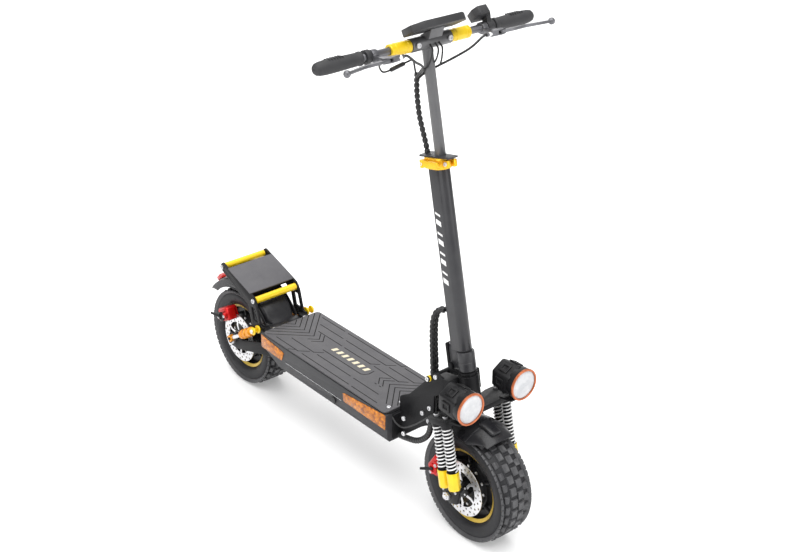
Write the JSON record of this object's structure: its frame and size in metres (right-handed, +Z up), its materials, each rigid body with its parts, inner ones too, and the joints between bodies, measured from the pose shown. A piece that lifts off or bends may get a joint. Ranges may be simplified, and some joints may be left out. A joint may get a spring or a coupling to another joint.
{
  "type": "electric kick scooter",
  "caption": "Folding electric kick scooter with a wide rubber-topped deck, a telescopic steering column, folding handlebar halves, sprung wheels, a rear luggage rack and lamps.",
  "frame": {"origin": "on the floor, midway between the two wheel axles, on the machine's centre line", "axes": "+Z up, +X towards the front wheel, +Y to the rider's left"},
  "size_m": [1.137, 0.591, 1.1744],
  "materials": {
    "black_metal": "satin black powder coat over alloy",
    "dark_metal": "satin dark grey powder coat over alloy",
    "mat_rubber": "matt grey rubber",
    "blue_wrap": "shrink wrap",
    "raw_metal": "bare extruded",
    "rubber": "matt black rubber",
    "tyre": "black tread rubber",
    "yellow_metal": "satin yellow anodised",
    "gold_metal": "golden orange anodised",
    "red_metal": "glossy red coat over alloy",
    "steel": "brushed",
    "spring_steel": "bright plated wire",
    "gloss_black": "glossy black",
    "black_plastic": "fine texture black",
    "milk_lens": "milky diffuser",
    "red_lens": "clear red",
    "grey_metal": "satin anthracite powder coat over alloy",
    "cable": "black sleeve"
  },
  "bodies": {
    "frame": {"deck_shell": "black_metal", "deck_lid": "dark_metal", "deck_mat": "mat_rubber", "battery_pack": "blue_wrap", "motor_controller": "raw_metal", "neck_frame": "black_metal", "rack_frame": "black_metal", "rack_bar_rear": "yellow_metal", "rack_bar_front": "yellow_metal", "rear_fender": "gloss_black", "taillight": "red_lens", "motor_conduit": "cable"},
    "charge_cap": {"charge_cap": "rubber"},
    "kickstand": {"kickstand": "black_metal"},
    "swingarm": {"swingarm": "black_metal", "rear_caliper": "red_metal"},
    "rear_wheel": {"rear_tyre": "tyre", "rear_rim": "black_metal", "rear_disc": "steel"},
    "shock_right": {"shock_body_right": "gold_metal"},
    "shock_left": {"shock_body_left": "gold_metal"},
    "shock_rod_right": {"shock_rod_right": "steel"},
    "shock_rod_left": {"shock_rod_left": "steel"},
    "steering": {"fork_crown": "black_metal", "fork_spring_front_right": "spring_steel", "fork_spring_front_left": "spring_steel", "fork_spring_rear_right": "spring_steel", "fork_spring_rear_left": "spring_steel"},
    "lamp_right": {"headlamp_right": "black_plastic", "lamp_lens_right": "milk_lens"},
    "lamp_left": {"headlamp_left": "black_plastic", "lamp_lens_left": "milk_lens"},
    "fork_lower": {"fork_leg_right": "yellow_metal", "fork_leg_left": "yellow_metal", "front_axle": "steel", "front_caliper": "red_metal", "front_fender": "gloss_black"},
    "front_wheel": {"front_tyre": "tyre", "front_rim": "black_metal", "front_disc": "steel"},
    "stem": {"stem_tube": "grey_metal", "height_clamp": "gold_metal", "stem_cable": "cable"},
    "fold_latch": {"fold_latch": "black_metal"},
    "clamp_lever": {"clamp_lever": "gold_metal"},
    "mast": {"mast": "grey_metal", "display": "black_plastic", "cable_loom": "cable"},
    "display_button": {"display_button": "rubber"},
    "bar_right": {"bar_right": "grey_metal", "grip_right": "rubber"},
    "bar_left": {"bar_left": "grey_metal", "grip_left": "rubber", "switch_pod": "black_plastic"},
    "collar_right": {"collar_right": "yellow_metal"},
    "collar_left": {"collar_left": "yellow_metal"},
    "brake_lever_right": {"brake_lever_right": "steel"},
    "brake_lever_left": {"brake_lever_left": "steel"},
    "throttle_lever": {"throttle_lever": "black_plastic"},
    "switch_button": {"switch_button": "red_lens"}
  },
  "joints": [
    {"name": "charge_cap_hinge", "type": "hinge", "parent": "frame", "child": "charge_cap", "pos_m": [0.02, -0.0875, 0.183], "axis": [-1, 0, 0], "range_deg": [0, 100]},
    {"name": "kickstand_fold", "type": "hinge", "parent": "frame", "child": "kickstand", "pos_m": [-0.105, 0.0975, 0.166], "axis": [0, 0.906, 0.4232], "range_deg": [0, 86]},
    {"name": "swingarm_pivot", "type": "hinge", "parent": "frame", "child": "swingarm", "pos_m": [-0.262, 0, 0.172], "axis": [0, 1, 0], "range_deg": [0, 7], "stiffness_Nm_per_rad": 450, "springref_deg": -5.73},
    {"name": "rear_wheel_spin", "type": "hinge", "parent": "swingarm", "child": "rear_wheel", "pos_m": [-0.4357, 0, 0.1325], "axis": [0, 1, 0], "continuous": true},
    {"name": "shock_pivot_right", "type": "hinge", "parent": "frame", "child": "shock_right", "pos_m": [-0.303, -0.0845, 0.2245], "axis": [0, 1, 0], "range_deg": [0, 8.5]},
    {"name": "shock_slide_right", "type": "slide", "parent": "shock_right", "child": "shock_rod_right", "axis": [0.8443, 0, 0.5359], "range_m": [0, 0.0095]},
    {"name": "shock_pivot_left", "type": "hinge", "parent": "frame", "child": "shock_left", "pos_m": [-0.303, 0.0845, 0.2245], "axis": [0, 1, 0], "range_deg": [0, 8.5]},
    {"name": "shock_slide_left", "type": "slide", "parent": "shock_left", "child": "shock_rod_left", "axis": [0.8443, 0, 0.5359], "range_m": [0, 0.0095]},
    {"name": "steering", "type": "hinge", "parent": "frame", "child": "steering", "pos_m": [0.41159, 0, 0.32178], "axis": [-0.2071, 0, 0.9783], "range_deg": [-35, 35], "deforming": ["motor_conduit"]},
    {"name": "lamp_tilt_right", "type": "hinge", "parent": "steering", "child": "lamp_right", "pos_m": [0.455, -0.0781, 0.3757], "axis": [0, 1, 0], "range_deg": [-5, 3]},
    {"name": "lamp_tilt_left", "type": "hinge", "parent": "steering", "child": "lamp_left", "pos_m": [0.455, 0.0781, 0.3757], "axis": [0, 1, 0], "range_deg": [-5, 3]},
    {"name": "fork_slide", "type": "slide", "parent": "steering", "child": "fork_lower", "axis": [-0.2071, 0, 0.9783], "range_m": [0, 0.018], "stiffness_N_per_m": 20000, "springref_m": -0.01, "deforming": ["fork_spring_front_right", "fork_spring_front_left", "fork_spring_rear_right", "fork_spring_rear_left"]},
    {"name": "front_wheel_spin", "type": "hinge", "parent": "fork_lower", "child": "front_wheel", "pos_m": [0.4357, 0, 0.1325], "axis": [0, 1, 0], "continuous": true},
    {"name": "stem_fold", "type": "hinge", "parent": "steering", "child": "stem", "pos_m": [0.3531, 0, 0.39526], "axis": [0, -1, 0], "range_deg": [0, 78], "deforming": ["stem_cable"]},
    {"name": "fold_latch_swing", "type": "hinge", "parent": "stem", "child": "fold_latch", "pos_m": [0.33322, 0, 0.43603], "axis": [0, -1, 0], "range_deg": [-35, 0]},
    {"name": "clamp_lever_swing", "type": "hinge", "parent": "stem", "child": "clamp_lever", "pos_m": [0.26857, -0.0284, 0.85242], "axis": [-0.2071, 0, 0.9783], "range_deg": [-100, 0]},
    {"name": "mast_slide", "type": "slide", "parent": "stem", "child": "mast", "axis": [0.2071, 0, -0.9783], "range_m": [0, 0.12], "deforming": ["cable_loom"]},
    {"name": "display_button_press", "type": "slide", "parent": "mast", "child": "display_button", "axis": [0.5, 0, -0.866], "range_m": [0, 0.001], "stiffness_N_per_m": 400, "springref_m": -0.002},
    {"name": "bar_fold_right", "type": "hinge", "parent": "mast", "child": "bar_right", "pos_m": [0.25101, -0.064, 1.11104], "axis": [0.9783, 0, 0.2071], "range_deg": [0, 78]},
    {"name": "collar_slide_right", "type": "slide", "parent": "bar_right", "child": "collar_right", "axis": [0, -1, 0], "range_m": [0, 0.0301]},
    {"name": "bar_fold_left", "type": "hinge", "parent": "mast", "child": "bar_left", "pos_m": [0.25101, 0.064, 1.11104], "axis": [-0.9783, 0, -0.2071], "range_deg": [0, 78]},
    {"name": "collar_slide_left", "type": "slide", "parent": "bar_left", "child": "collar_left", "axis": [0, 1, 0], "range_m": [0, 0.0301]},
    {"name": "brake_pull_right", "type": "hinge", "parent": "bar_right", "child": "brake_lever_right", "pos_m": [0.30109, -0.156, 1.11398], "axis": [0.2071, 0, -0.9783], "range_deg": [0, 16], "stiffness_Nm_per_rad": 2, "springref_deg": -17.19},
    {"name": "brake_pull_left", "type": "hinge", "parent": "bar_left", "child": "brake_lever_left", "pos_m": [0.30109, 0.156, 1.11398], "axis": [-0.2071, 0, 0.9783], "range_deg": [0, 16], "stiffness_Nm_per_rad": 2, "springref_deg": -17.19},
    {"name": "throttle_press", "type": "hinge", "parent": "bar_right", "child": "throttle_lever", "pos_m": [0.25101, -0.166, 1.11104], "axis": [0, -1, 0], "range_deg": [0, 25], "stiffness_Nm_per_rad": 0.15, "springref_deg": -14.32},
    {"name": "switch_button_press", "type": "slide", "parent": "bar_left", "child": "switch_button", "axis": [0.7308, 0, -0.6826], "range_m": [0, 0.0012], "stiffness_N_per_m": 400, "springref_m": -0.002}
  ],
  "couplings": [
    {"joint": "shock_pivot_right", "follows": "swingarm_pivot", "ratio": 1.076},
    {"joint": "shock_pivot_left", "follows": "swingarm_pivot", "ratio": 1.076},
    {"joint": "shock_slide_right", "follows": "swingarm_pivot", "m_per_rad": 0.0658},
    {"joint": "shock_slide_left", "follows": "swingarm_pivot", "m_per_rad": 0.0658},
    {"joint": "collar_slide_right", "follows": "bar_fold_right", "m_per_rad": 0.022},
    {"joint": "collar_slide_left", "follows": "bar_fold_left", "m_per_rad": 0.022}
  ]
}
